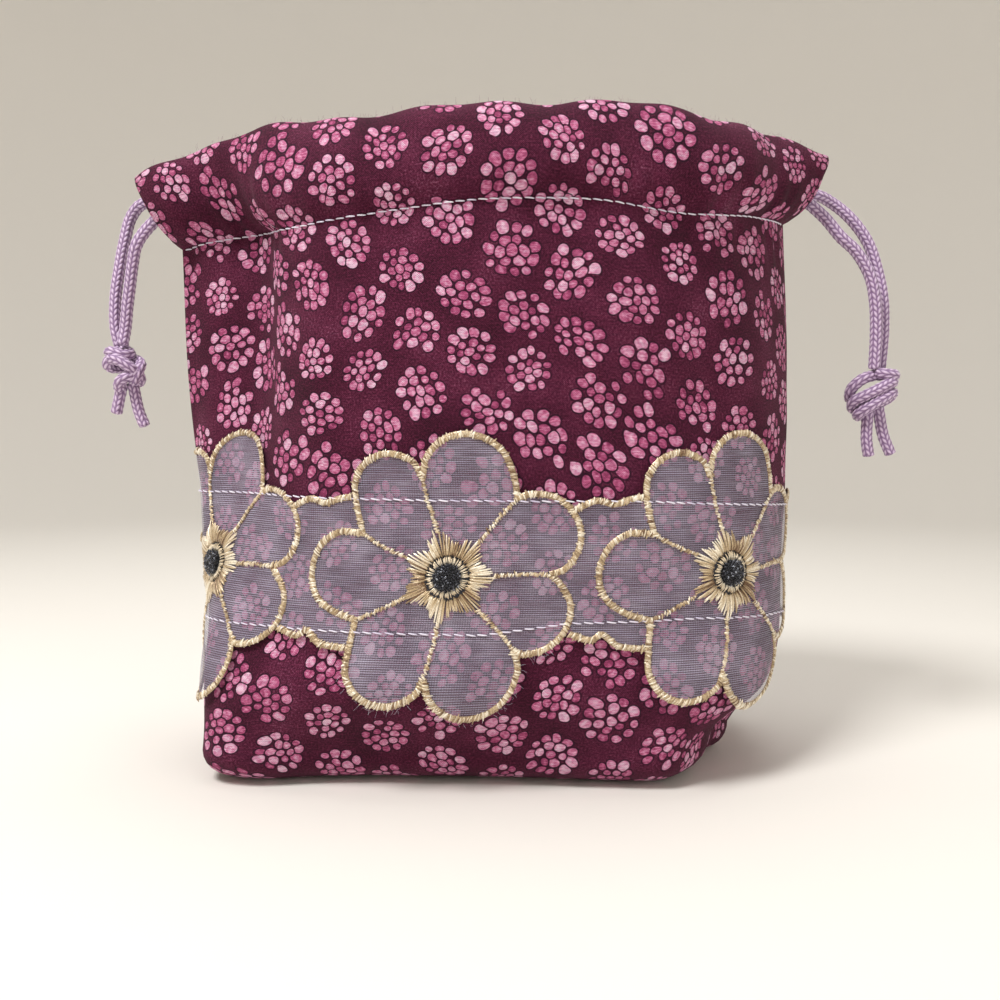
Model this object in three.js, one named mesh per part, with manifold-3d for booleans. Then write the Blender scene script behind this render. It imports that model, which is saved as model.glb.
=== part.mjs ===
// Kinchaku: a small drawstring pouch sewn from two cotton panels, with a boxed
// base that stands up, a cord casing folded from the top of each panel, a strip
// of embroidered flower trim across the front, and two drawcords that enter from
// opposite sides and are knotted at their ends.
//
// Millimetres, +Z up. The origin is on the table under the middle of the pouch.
// The front faces -Y and the side seams lie near the plane y = 0.
import * as THREE from "three";
import { mergeVertices } from "three/addons/utils/BufferGeometryUtils.js";
import Module from "manifold-3d";

const wasm = await Module();
wasm.setup();

// ---------------------------------------------------------------- sizes
const CLOTH = 0.9; // stand-in thickness of the sewn cotton
const SEAM_GAP = 0.15; // each panel stops this far from the seam plane
const EDGE_HEIGHT = 7; // where the wall starts to turn under into the base
const FLOOR_INSET = 7; // the flat base starts this far inside the wall
const BASE_SEAM = [-56, 55]; // ends of the centre seam under the base
const CORD_RADIUS = 1.5;
const CORD_SIDES = 8;
const TRIM_THICKNESS = 0.6;
const TRIM_GAP = 0.65; // between the cloth and the trim
const PANEL_COLUMNS = 30;
const TRIM_COLUMNS = 64;
const TRIM_ROWS = 5;

// Plan outline of the front panel, from the left seam to the right seam, at five
// heights: "down" is 0 at the casing stitching and 1 where the base turns under.
const FRONT_OUTLINES = [
  { down: 0.0, line: [[-74.3, 0], [-66, -4.5], [-53.5, -8.5], [-44, -24], [-33, -31.5], [-16, -36],
    [5, -37.5], [29, -36], [49, -30], [62, -19], [71, -7], [74.6, 0]] },
  { down: 0.3, line: [[-73.3, 0], [-66, -5.5], [-54, -10.5], [-44.5, -25], [-33, -33], [-16, -37.5],
    [5, -39], [29, -38], [49, -33], [64, -22], [73.5, -8.5], [76.3, 0]] },
  { down: 0.64, line: [[-68.5, 0], [-68, -7], [-61, -16], [-50, -25.5], [-36, -33], [-17, -37.5],
    [5, -39], [28, -38.5], [48, -34.5], [63, -25.5], [72.5, -11], [74.6, 0]] },
  { down: 0.88, line: [[-63, 0], [-65, -12], [-63, -25], [-54, -32.5], [-40, -36.5], [-18, -38],
    [5, -38], [27, -38], [47, -36], [61, -29], [69.5, -14], [71, 0]] },
  { down: 1.0, line: [[-60, 0], [-61.5, -16], [-60.5, -29.5], [-53, -34], [-38, -34], [-18, -34.5],
    [5, -35.5], [26, -36.5], [44, -36], [56, -31], [61.5, -16], [62, 0]] },
];
// The back panel is an even curve between the same seams.
const BACK_DEPTHS = [37, 39, 39, 38, 35.5];
const BACK_SHARPNESS = [1.35, 1.25, 0.9, 0.55, 0.36]; // 1 is an ellipse, less is squarer
// Heights of the casing stitching, evenly spaced from the left to the right seam.
const STITCH_HEIGHTS = [124.6, 126.8, 125, 126.7, 128.8, 129, 127, 129, 130.7];
// The fold along the top of the casing, from ear to ear.
const TOP_FOLD = [[-83, -5.5, 140.7], [-66.2, -11, 145.9], [-50.4, -18, 148.4], [-33, -27, 148],
  [-17, -32, 148.1], [6.6, -35, 149.1], [34.4, -33, 149.3], [53, -26, 148.3], [67, -15, 147.7],
  [81.9, -5.5, 146.6]];
// The casing's section: "rise" runs from the stitching (0) to the fold (1), and
// "out" is how far the cloth stands in front of the line between them.
const CASING_SECTION = [[-0.08, -2.1], [0.08, -2.7], [0.3, -4.6], [0.58, -5], [0.82, -3.8],
  [0.96, -1.9], [1, 0], [0.97, 1.9], [0.84, 3.8], [0.62, 4.9], [0.36, 4.8], [0.16, 3.3], [0.05, 1.4]];
// The open ends of the casing: how far they belly out past a straight edge at the
// left and right, and how far the inner layer stops short of the outer one.
const EAR_REACH = 0.08;
const EAR_BELLY = [1.9, 2.6];
const EAR_INSET = 7;
const BODY_ROWS = [0, 0.08, 0.2, 0.34, 0.48, 0.62, 0.74, 0.84, 0.92, 1];
const TURN_UNDER = [[0.28, 0.3], [1, 0]]; // share of FLOOR_INSET, share of EDGE_HEIGHT

// The trim, laid out along the cloth from the left seam. A petal is stated by its
// direction and by how far its round end's centre is from the flower's centre.
const PANEL_WIDTH = 181;
const FLOWER_SPACING = 63;
const FLOWER_HEIGHT = 48.5;
const MIDDLE_FLOWER = 79.3;
const TRIM_EDGES = [34.5, 65.5]; // lower and upper edge between the flowers
const SEWN_LINES = [37, 65];
const PETALS = [[27, 23], [78, 22], [116, 20], [179, 20], [231, 21], [281, 23], [331, 20]];
const PETAL_RADIUS = 10;

// Each cord's lane in the casing, as a rise, and the part of the casing it fills.
const LEFT_LANE = 0.68;
const RIGHT_LANE = 0.33;
const HELD_SHARE = [0.05, 0.955];
// The four strands that hang free, from inside the mouth of the casing to the knot.
const STRANDS = {
  left_cord_front_strand: [[-71, -4.4, 135.6], [-76, -3.2, 134], [-81.4, -3.6, 129.4], [-84.1, -4.5, 125],
    [-85.3, -4, 120.8], [-86.3, -3.4, 115.7], [-87.3, -2.8, 110.6], [-88.1, -2.3, 105.4],
    [-88.8, -2.9, 100.8]],
  left_cord_back_strand: [[-71, 4.8, 136], [-78, 3.8, 137.2], [-85.4, 4.4, 136.8], [-88.5, 4.9, 133.8],
    [-90.1, 4, 127.4], [-91.1, 2.6, 120.1], [-91.8, 1.4, 112.8], [-91.7, 0.7, 105.7],
    [-90.6, 0.3, 100.8]],
  right_cord_front_strand: [[71, -4.4, 136.2], [77.4, -1.9, 137.2], [83.6, -2.2, 132.6], [87.6, -4.2, 127],
    [91.5, -4.2, 123.4], [95.1, -4.1, 117.4], [96.6, -3.8, 110.9], [97.1, -3.4, 103.5],
    [97, -3.1, 94.9]],
  right_cord_back_strand: [[71, 4.4, 136.6], [77, 2.9, 138], [83.4, 3.4, 138.8], [88.5, 5, 137],
    [93.2, 4.4, 132.8], [97, 3.4, 127], [99, 2.2, 120.2], [100.3, 1.2, 112.5], [100.4, 0.6, 104.7],
    [99.6, 0.2, 94.9]],
};
const KNOTS = {
  left_cord_knot: {
    centre: [-88.8, -1.5, 94.6],
    size: [4.8, 4.2, 5.4],
    lean: 0.5,
    tails: [[[-89.2, -2, 91], [-90.3, -2, 87.5], [-91.1, -2, 83.9]],
      [[-87, -1.5, 91], [-85.6, -1.5, 84.7], [-84.1, -1.5, 80.8]]],
  },
  right_cord_knot: {
    centre: [97.2, -1.5, 88.5],
    size: [6.3, 4.6, 5.6],
    lean: -0.3,
    tails: [[[96.4, -1.6, 85], [96.2, -1.6, 78], [96.9, -1.6, 73.3]],
      [[98.6, -1.4, 85], [100.9, -1.4, 78.8], [102.9, -1.4, 73.8]]],
  },
};

// ---------------------------------------------------------------- the cloth's surface
const { lerp, clamp, smoothstep, degToRad } = THREE.MathUtils;

function curveThrough(points) {
  const places = points.map(([x, y, z = 0]) => new THREE.Vector3(x, y, z));
  return new THREE.CatmullRomCurve3(places, false, "centripetal");
}

// A value read between evenly spaced ones, without kinks.
function valueAt(values, share) {
  const place = clamp(share, 0, 1) * (values.length - 1);
  const low = Math.min(Math.floor(place), values.length - 2);
  return lerp(values[low], values[low + 1], smoothstep(place - low, 0, 1));
}

// The two stated outlines that a height lies between, and its share between them.
function betweenOutlines(down) {
  const next = Math.max(1, FRONT_OUTLINES.findIndex((outline) => outline.down >= down));
  const above = FRONT_OUTLINES[next - 1].down;
  return { next, share: (down - above) / (FRONT_OUTLINES[next].down - above) };
}

// The front panel's plan outline at any height, as a curve from seam to seam.
function frontOutline(down) {
  const { next, share } = betweenOutlines(down);
  const lower = FRONT_OUTLINES[next].line;
  const points = FRONT_OUTLINES[next - 1].line.map(([x, y], k) => [
    lerp(x, lower[k][0], share),
    lerp(y, lower[k][1], share),
  ]);
  return curveThrough(points);
}

// The back panel's outline, drawn as if it were a front panel.
function backOutline(down) {
  const { next, share } = betweenOutlines(down);
  const depth = lerp(BACK_DEPTHS[next - 1], BACK_DEPTHS[next], share);
  const sharpness = lerp(BACK_SHARPNESS[next - 1], BACK_SHARPNESS[next], share);
  const front = frontOutline(down);
  const left = front.getPoint(0).x;
  const right = front.getPoint(1).x;
  const points = [];
  for (let k = 0; k <= 12; k++) {
    const turn = (Math.PI * k) / 12;
    const sideways = Math.sign(Math.cos(turn)) * Math.abs(Math.cos(turn)) ** sharpness;
    points.push([lerp(left, right, (1 - sideways) / 2), -depth * Math.sin(turn) ** sharpness]);
  }
  return curveThrough(points);
}

// A point of the wall: "across" is 0 at the left seam and 1 at the right seam.
function wallPoint(outline, across, down) {
  const p = outline.getPointAt(across);
  p.z = lerp(valueAt(STITCH_HEIGHTS, across), EDGE_HEIGHT, down);
  return p;
}

// The same point on the flat facets between the panel's columns.
function facetPoint(outline, across, down) {
  const place = across * PANEL_COLUMNS;
  const column = Math.min(Math.floor(place), PANEL_COLUMNS - 1);
  const left = wallPoint(outline, column / PANEL_COLUMNS, down);
  const right = wallPoint(outline, (column + 1) / PANEL_COLUMNS, down);
  return left.lerp(right, place - column);
}

// Level direction out of the pouch at a point of a curve that runs from left to right.
function outwards(curve, across) {
  const tangent = curve.getTangentAt(across);
  return new THREE.Vector3(tangent.y, -tangent.x, 0).normalize();
}

// A function that gives the points of one panel's casing.
function makeCasing(outlineAt) {
  const foot = outlineAt(0);
  const fold = curveThrough(TOP_FOLD);
  return (across, rise, out) => {
    const low = wallPoint(foot, across, 0);
    const high = fold.getPointAt(across);
    const turn = clamp(rise * 1.6, 0, 1);
    const direction = outwards(foot, across).lerp(outwards(fold, across), turn).normalize();
    const p = low.lerp(high, rise).addScaledVector(direction, out);
    const nearEnd = 1 - smoothstep(Math.min(across, 1 - across), 0, EAR_REACH);
    const side = across < 0.5 ? -1 : 1;
    const belly = lerp(...EAR_BELLY, across) * Math.sin(Math.PI * clamp(rise, 0, 1));
    const inset = EAR_INSET * clamp(-out / 4, 0, 1);
    p.x += side * nearEnd * (belly - inset);
    return p;
  };
}

// ---------------------------------------------------------------- sheets
// A closed sheet between two grids of points, grid[column][row]. Columns run to
// the right and rows run down the outside, so the first grid is the outer face.
function thickSheet(outer, inner) {
  const columns = outer.length;
  const rows = outer[0].length;
  const at = (side, i, j) => (side * columns + i) * rows + j;
  const index = [];
  const quad = (a, b, c, d) => index.push(a, b, c, a, c, d);
  for (let i = 0; i < columns - 1; i++) {
    for (let j = 0; j < rows - 1; j++) {
      quad(at(0, i, j), at(0, i, j + 1), at(0, i + 1, j + 1), at(0, i + 1, j));
      quad(at(1, i, j), at(1, i + 1, j), at(1, i + 1, j + 1), at(1, i, j + 1));
    }
    quad(at(0, i, 0), at(0, i + 1, 0), at(1, i + 1, 0), at(1, i, 0));
    quad(at(0, i, rows - 1), at(1, i, rows - 1), at(1, i + 1, rows - 1), at(0, i + 1, rows - 1));
  }
  const last = columns - 1;
  for (let j = 0; j < rows - 1; j++) {
    quad(at(0, 0, j), at(1, 0, j), at(1, 0, j + 1), at(0, 0, j + 1));
    quad(at(0, last, j), at(0, last, j + 1), at(1, last, j + 1), at(1, last, j));
  }
  const geometry = new THREE.BufferGeometry().setFromPoints([...outer.flat(), ...inner.flat()]);
  geometry.setIndex(index);
  return geometry;
}

// The direction into the cloth at each point of an outer grid.
function inwardNormals(grid) {
  const lastColumn = grid.length - 1;
  const lastRow = grid[0].length - 1;
  return grid.map((column, i) => column.map((_, j) => {
    const left = grid[Math.max(i - 1, 0)][j];
    const right = grid[Math.min(i + 1, lastColumn)][j];
    const above = column[Math.max(j - 1, 0)];
    const below = column[Math.min(j + 1, lastRow)];
    return right.clone().sub(left).cross(below.clone().sub(above)).normalize();
  }));
}

function keepOffSeam(grid) {
  grid.flat().forEach((p) => {
    p.y = Math.min(p.y, -SEAM_GAP);
  });
}

// ---------------------------------------------------------------- panels
// One panel: hem inside the casing, casing, wall, and half of the boxed base,
// all one curled piece of cloth.
function panelGeometry(outlineAt) {
  const casing = makeCasing(outlineAt);
  const wall = BODY_ROWS.map(outlineAt);
  const outer = [];
  for (let i = 0; i <= PANEL_COLUMNS; i++) {
    const across = i / PANEL_COLUMNS;
    const column = CASING_SECTION.map(([rise, out]) => casing(across, rise, out));
    BODY_ROWS.forEach((down, k) => column.push(wallPoint(wall[k], across, down)));
    const edge = column[column.length - 1];
    const seam = new THREE.Vector3(lerp(...BASE_SEAM, across), -SEAM_GAP, 0);
    const inset = FLOOR_INSET / Math.max(edge.distanceTo(seam), 2 * FLOOR_INSET);
    for (const [share, height] of TURN_UNDER) {
      const p = edge.clone().lerp(seam, inset * share);
      p.z = EDGE_HEIGHT * height;
      column.push(p);
    }
    for (const share of [0.5, 1]) {
      const p = edge.clone().lerp(seam, lerp(inset, 1, share));
      p.z = 0;
      column.push(p);
    }
    outer.push(column);
  }
  const inward = inwardNormals(outer);
  const inner = outer.map((column, i) => column.map((p, j) => {
    const direction = inward[i][j];
    const besideSeam = i === 0 || i === PANEL_COLUMNS;
    if (besideSeam && j >= CASING_SECTION.length) direction.setComponent(1, 0);
    if (p.z === 0) direction.set(0, 0, 1);
    return p.clone().addScaledVector(direction.normalize(), CLOTH);
  }));
  keepOffSeam(outer);
  keepOffSeam(inner);
  return thickSheet(outer, inner);
}

function mirrorFrontToBack(geometry) {
  geometry.scale(1, -1, 1);
  const order = geometry.index.array;
  for (let k = 0; k < order.length; k += 3) {
    const first = order[k];
    order[k] = order[k + 1];
    order[k + 1] = first;
  }
  return geometry;
}

// ---------------------------------------------------------------- embroidered trim
// A strip of scalloped organza. Each petal's round end is an arc, and the strip's
// edge follows whichever arc reaches furthest.
function trimEdges(along) {
  let [low, high] = TRIM_EDGES;
  for (const turn of [-1, 0, 1]) {
    for (const [angle, reach] of PETALS) {
      const a = degToRad(angle);
      const centre = MIDDLE_FLOWER + turn * FLOWER_SPACING + reach * Math.cos(a);
      const beside = Math.abs(along - centre);
      if (beside >= PETAL_RADIUS) continue;
      const middle = FLOWER_HEIGHT + reach * Math.sin(a);
      const half = Math.sqrt(PETAL_RADIUS ** 2 - beside ** 2);
      low = Math.min(low, middle - half);
      high = Math.max(high, middle + half);
    }
  }
  return [low, high];
}

// The petals beyond the sewn lines stand a little off the cloth.
function trimStandOff(height) {
  const below = Math.max(0, SEWN_LINES[0] - height);
  const above = Math.max(0, height - SEWN_LINES[1]);
  return TRIM_GAP + 0.08 * below + 0.02 * above;
}

function trimGeometry() {
  const outer = [];
  const inner = [];
  for (let i = 0; i <= TRIM_COLUMNS; i++) {
    const across = i / TRIM_COLUMNS;
    const [low, high] = trimEdges(across * PANEL_WIDTH);
    const front = [];
    const back = [];
    for (let j = 0; j <= TRIM_ROWS; j++) {
      const height = lerp(high, low, j / TRIM_ROWS);
      const top = valueAt(STITCH_HEIGHTS, across);
      const down = (top - height) / (top - EDGE_HEIGHT);
      const outline = frontOutline(down);
      const out = outwards(outline, across);
      const p = facetPoint(outline, across, down);
      front.push(p.clone().addScaledVector(out, trimStandOff(height) + TRIM_THICKNESS));
      back.push(p.addScaledVector(out, trimStandOff(height)));
    }
    outer.push(front);
    inner.push(back);
  }
  keepOffSeam(outer);
  keepOffSeam(inner);
  return thickSheet(outer, inner);
}

// ---------------------------------------------------------------- drawcords
function cordGeometry(points, steps) {
  const corners = [];
  for (let k = 0; k < CORD_SIDES; k++) {
    const a = (2 * Math.PI * k) / CORD_SIDES;
    corners.push(new THREE.Vector2(CORD_RADIUS * Math.cos(a), CORD_RADIUS * Math.sin(a)));
  }
  const extrudePath = curveThrough(points);
  return new THREE.ExtrudeGeometry(new THREE.Shape(corners), { steps, extrudePath, bevelEnabled: false });
}

// The stretch of a cord that lies inside the casings: in at one side, through the
// front casing, round the far side and back through the back casing.
// side is -1 for the cord that is pulled on the left and 1 for the right one.
function heldRoute(side, rise) {
  const front = makeCasing(frontOutline);
  const back = makeCasing(backOutline);
  const steps = 12;
  const there = [];
  const home = [];
  for (let k = 0; k <= steps; k++) {
    const share = lerp(...HELD_SHARE, k / steps);
    const across = side < 0 ? share : 1 - share;
    const p = front(across, rise, 0);
    const q = back(across, rise, 0);
    there.push([p.x, p.y, p.z]);
    home.unshift([q.x, -q.y, q.z]);
  }
  const [x, y, z] = there[steps];
  const farSide = [[x - side * 2.6, y + 1.8, z], [x - side * 3.4, 0, z], [x - side * 2.6, -y - 1.8, z]];
  return [...there, ...farSide, ...home];
}

function toSolid(geometry) {
  geometry.deleteAttribute("normal");
  geometry.deleteAttribute("uv");
  const merged = mergeVertices(geometry, 1e-3);
  return new wasm.Manifold(new wasm.Mesh({
    numProp: 3,
    vertProperties: merged.getAttribute("position").array,
    triVerts: new Uint32Array(merged.index.array),
  }));
}

function toGeometry(solid) {
  const mesh = solid.getMesh();
  const geometry = new THREE.BufferGeometry();
  geometry.setAttribute("position", new THREE.BufferAttribute(mesh.vertProperties, 3));
  geometry.setIndex(new THREE.BufferAttribute(mesh.triVerts, 1));
  return geometry;
}

// The outer shape of an overhand knot tied in both strands, with its two cut tails.
function knotGeometry({ centre, size, lean, tails }) {
  const lump = new THREE.SphereGeometry(1, 16, 10);
  lump.scale(...size);
  lump.rotateY(lean);
  lump.translate(...centre);
  const ends = tails.map((route) => toSolid(cordGeometry(route, 5)));
  return toGeometry(ends.reduce((whole, end) => whole.add(end), toSolid(lump)));
}

// ---------------------------------------------------------------- assembly
const cotton = new THREE.MeshStandardMaterial({ color: 0x6b2a45, roughness: 0.9, metalness: 0 });
const organza = new THREE.MeshStandardMaterial({ color: 0x8d8494, roughness: 0.7, metalness: 0 });
const braid = new THREE.MeshStandardMaterial({ color: 0xb9a0c4, roughness: 0.5, metalness: 0 });

const pouch = new THREE.Group();

function addPiece(name, geometry, material) {
  geometry.computeVertexNormals();
  const piece = new THREE.Mesh(geometry, material.clone());
  piece.name = name;
  pouch.add(piece);
}

addPiece("front_panel", panelGeometry(frontOutline), cotton);
addPiece("back_panel", mirrorFrontToBack(panelGeometry(backOutline)), cotton);
addPiece("flower_trim", trimGeometry(), organza);
addPiece("left_cord_run", cordGeometry(heldRoute(-1, LEFT_LANE), 64), braid);
addPiece("right_cord_run", cordGeometry(heldRoute(1, RIGHT_LANE), 64), braid);
for (const [name, route] of Object.entries(STRANDS)) addPiece(name, cordGeometry(route, 10), braid);
for (const [name, knot] of Object.entries(KNOTS)) addPiece(name, knotGeometry(knot), braid);

export default pouch;
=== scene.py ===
# Kinchaku: a small drawstring pouch of plum printed cotton. Two panels are sewn up
# the sides and boxed at the base, each is folded over at the top as a cord casing,
# an embroidered organza trim crosses the front, and two braided cords draw it shut.
# Places on the pouch are worked out in millimetres and scaled as a mesh is made.
import bpy
import math
import numpy as np
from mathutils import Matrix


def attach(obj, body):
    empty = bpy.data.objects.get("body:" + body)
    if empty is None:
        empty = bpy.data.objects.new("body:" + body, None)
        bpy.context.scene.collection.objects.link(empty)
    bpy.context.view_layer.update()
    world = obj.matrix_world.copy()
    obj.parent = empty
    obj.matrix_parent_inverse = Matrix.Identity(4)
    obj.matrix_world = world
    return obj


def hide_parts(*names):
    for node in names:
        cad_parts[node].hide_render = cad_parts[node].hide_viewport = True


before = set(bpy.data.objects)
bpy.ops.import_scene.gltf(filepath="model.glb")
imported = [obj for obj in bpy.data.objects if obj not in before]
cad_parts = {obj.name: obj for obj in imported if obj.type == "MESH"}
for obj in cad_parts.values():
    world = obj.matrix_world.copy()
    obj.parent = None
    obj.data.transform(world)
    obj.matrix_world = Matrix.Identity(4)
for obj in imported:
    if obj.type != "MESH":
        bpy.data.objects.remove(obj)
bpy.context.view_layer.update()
bpy.ops.object.select_all(action="DESELECT")
MM = 0.001

# ------------------------------------------------------------------ camera
# Set a little to the right of the middle and tipped slightly down, at arm's length.
# A lens as long as its sensor is wide takes in the whole pouch and a margin of table.
CAMERA_PLACE = (0.0045, -0.252, 0.080)
CAMERA_TIP = math.radians(86)
bpy.ops.object.camera_add(location=CAMERA_PLACE, rotation=(CAMERA_TIP, 0, 0))
camera = bpy.context.object
camera.name = "camera"
camera.data.lens = 36
camera.data.sensor_width = 36
camera.data.clip_start = 0.01
bpy.context.scene.camera = camera

# ------------------------------------------------------------------ drawcords
# Two 3 mm braided acrylic cords. Each goes in at one side, runs round inside both
# casings and comes out where it went in, and its two ends share an overhand knot.
CORD_DIAMETER = 3.0
FREE_STRANDS = {
    "left_cord_front_strand": [(-71, -4.4, 135.6), (-76, -3.2, 134), (-81.4, -3.6, 129.4), (-84.1, -4.5, 125),
                               (-85.3, -4, 120.8), (-86.3, -3.4, 115.7), (-87.3, -2.8, 110.6),
                               (-88.1, -2.3, 105.4), (-88.8, -2.9, 100.8)],
    "left_cord_back_strand": [(-71, 4.8, 136), (-78, 3.8, 137.2), (-85.4, 4.4, 136.8), (-88.5, 4.9, 133.8),
                              (-90.1, 4, 127.4), (-91.1, 2.6, 120.1), (-91.8, 1.4, 112.8),
                              (-91.7, 0.7, 105.7), (-90.6, 0.3, 100.8)],
    "right_cord_front_strand": [(71, -4.4, 136.2), (77.4, -1.9, 137.2), (83.6, -2.2, 132.6),
                                (87.6, -4.2, 127), (91.5, -4.2, 123.4), (95.1, -4.1, 117.4),
                                (96.6, -3.8, 110.9), (97.1, -3.4, 103.5), (97, -3.1, 94.9)],
    "right_cord_back_strand": [(71, 4.4, 136.6), (77, 2.9, 138), (83.4, 3.4, 138.8), (88.5, 5, 137),
                               (93.2, 4.4, 132.8), (97, 3.4, 127), (99, 2.2, 120.2), (100.3, 1.2, 112.5),
                               (100.4, 0.6, 104.7), (99.6, 0.2, 94.9)],
}


def route_through(points, step):
    """Points about a step apart on the smooth curve through the given ones."""
    p = np.array(points, float)
    p = np.vstack([2 * p[0] - p[1], p, 2 * p[-1] - p[-2]])
    pieces = []
    for a, b, c, d in zip(p[:-3], p[1:-2], p[2:-1], p[3:]):
        t1 = np.linalg.norm(b - a) ** 0.5
        t2 = t1 + np.linalg.norm(c - b) ** 0.5
        t3 = t2 + np.linalg.norm(d - c) ** 0.5
        t = np.linspace(t1, t2, 33)[:-1, None]
        a1 = a + (b - a) * t / t1
        a2 = b + (c - b) * (t - t1) / (t2 - t1)
        a3 = c + (d - c) * (t - t2) / (t3 - t2)
        b1 = a1 + (a2 - a1) * t / t2
        b2 = a2 + (a3 - a2) * (t - t1) / (t3 - t1)
        pieces.append(b1 + (b2 - b1) * (t - t1) / (t2 - t1))
    dense = np.vstack(pieces + [p[-2:-1]])
    along = np.concatenate([[0], np.cumsum(np.linalg.norm(np.diff(dense, axis=0), axis=1))])
    places = np.linspace(0, along[-1], max(2, round(along[-1] / step) + 1))
    return np.stack([np.interp(places, along, dense[:, k]) for k in range(dense.shape[1])], axis=1)


def grid_faces(index, closed=False):
    """Four-sided faces between neighbours in a grid of point numbers, closed round if it is a tube."""
    near, ahead = (index, np.roll(index, -1, axis=1)) if closed else (index[:, :-1], index[:, 1:])
    return np.stack([near[:-1], ahead[:-1], ahead[1:], near[1:]], axis=-1)


def new_piece(name, points, faces, uv=None, slot=None, **values):
    """A mesh from points in millimetres, with a UV and named values at its points."""
    mesh = bpy.data.meshes.new(name)
    mesh.from_pydata((np.asarray(points) * MM).tolist(), [], [tuple(f) for f in faces])
    if uv is not None:
        corners = np.zeros(len(mesh.loops), dtype=np.int32)
        mesh.loops.foreach_get("vertex_index", corners)
        layer = mesh.uv_layers.new(name="UVMap")
        layer.data.foreach_set("uv", np.asarray(uv, np.float32)[corners].ravel())
    for key, numbers in values.items():
        layer = mesh.attributes.new(key, "FLOAT", "POINT")
        layer.data.foreach_set("value", np.asarray(numbers, np.float32).ravel())
    mesh.polygons.foreach_set("use_smooth", [True] * len(mesh.polygons))
    mesh.update()
    piece = bpy.data.objects.new(name, mesh)
    bpy.context.collection.objects.link(piece)
    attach(piece, "root")
    return piece


BRAID_COLUMNS = 8
BRAID_PITCH = 1.45
BRAID_RELIEF = 0.26


def braided_tube(name, routes, diameter=CORD_DIAMETER, around=48, step=0.13):
    """Braided cord along each route: plump slanting stitches in columns that lean in turn."""
    points, faces, uvs, reliefs = [], [], [], []
    first = 0
    for route in routes:
        line = route_through(route, step)
        rings = len(line)
        tangents = np.gradient(line, axis=0)
        tangents /= np.linalg.norm(tangents, axis=1)[:, None]
        side = np.cross(tangents[0], (0.0, 1.0, 0.15))
        sides = []
        for tangent in tangents:
            side = side - tangent * side.dot(tangent)
            side = side / np.linalg.norm(side)
            sides.append(side)
        sides = np.array(sides)
        ups = np.cross(tangents, sides)
        along = np.arange(rings) * step
        turn, run = np.meshgrid(np.linspace(0, 2 * math.pi, around, endpoint=False), along)
        column = turn / (2 * math.pi) * BRAID_COLUMNS
        number = np.floor(column).astype(int)
        across = column - number - 0.5
        lean = np.where(number % 2 == 0, 0.75, -0.75)
        stitch = (run / BRAID_PITCH + lean * across + 0.5 * (number // 2 % 2)) % 1 - 0.5
        relief = np.sqrt(np.cos(across * math.pi).clip(0, 1)) * np.cos(stitch * math.pi).clip(0, 1) ** 0.6
        end = np.minimum(along, along[-1] - along)
        closing = np.sqrt((1 - (1 - (end / 0.5).clip(0, 1)) ** 2).clip(0.05, 1))[:, None]
        radius = (diameter / 2 - BRAID_RELIEF * (1 - relief)) * closing
        offset = np.cos(turn)[..., None] * sides[:, None] + np.sin(turn)[..., None] * ups[:, None]
        points += [(line[:, None] + offset * radius[..., None]).reshape(-1, 3), line[[0, -1]]]
        index = first + np.arange(rings * around).reshape(rings, around)
        ahead = np.roll(index, -1, axis=1)
        faces += grid_faces(index, closed=True).reshape(-1, 4).tolist()
        centre = first + rings * around
        faces += [(centre, b, a) for a, b in zip(index[0].tolist(), ahead[0].tolist())]
        faces += [(centre + 1, a, b) for a, b in zip(index[-1].tolist(), ahead[-1].tolist())]
        uvs += [np.stack([turn.ravel() * diameter / 2, run.ravel()], axis=1), [[0, 0], [0, along[-1]]]]
        reliefs += [relief.ravel(), [0.3, 0.3]]
        first += rings * around + 2
    return new_piece(name, np.vstack(points), faces, np.vstack(uvs), "braid", relief=np.concatenate(reliefs))


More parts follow.
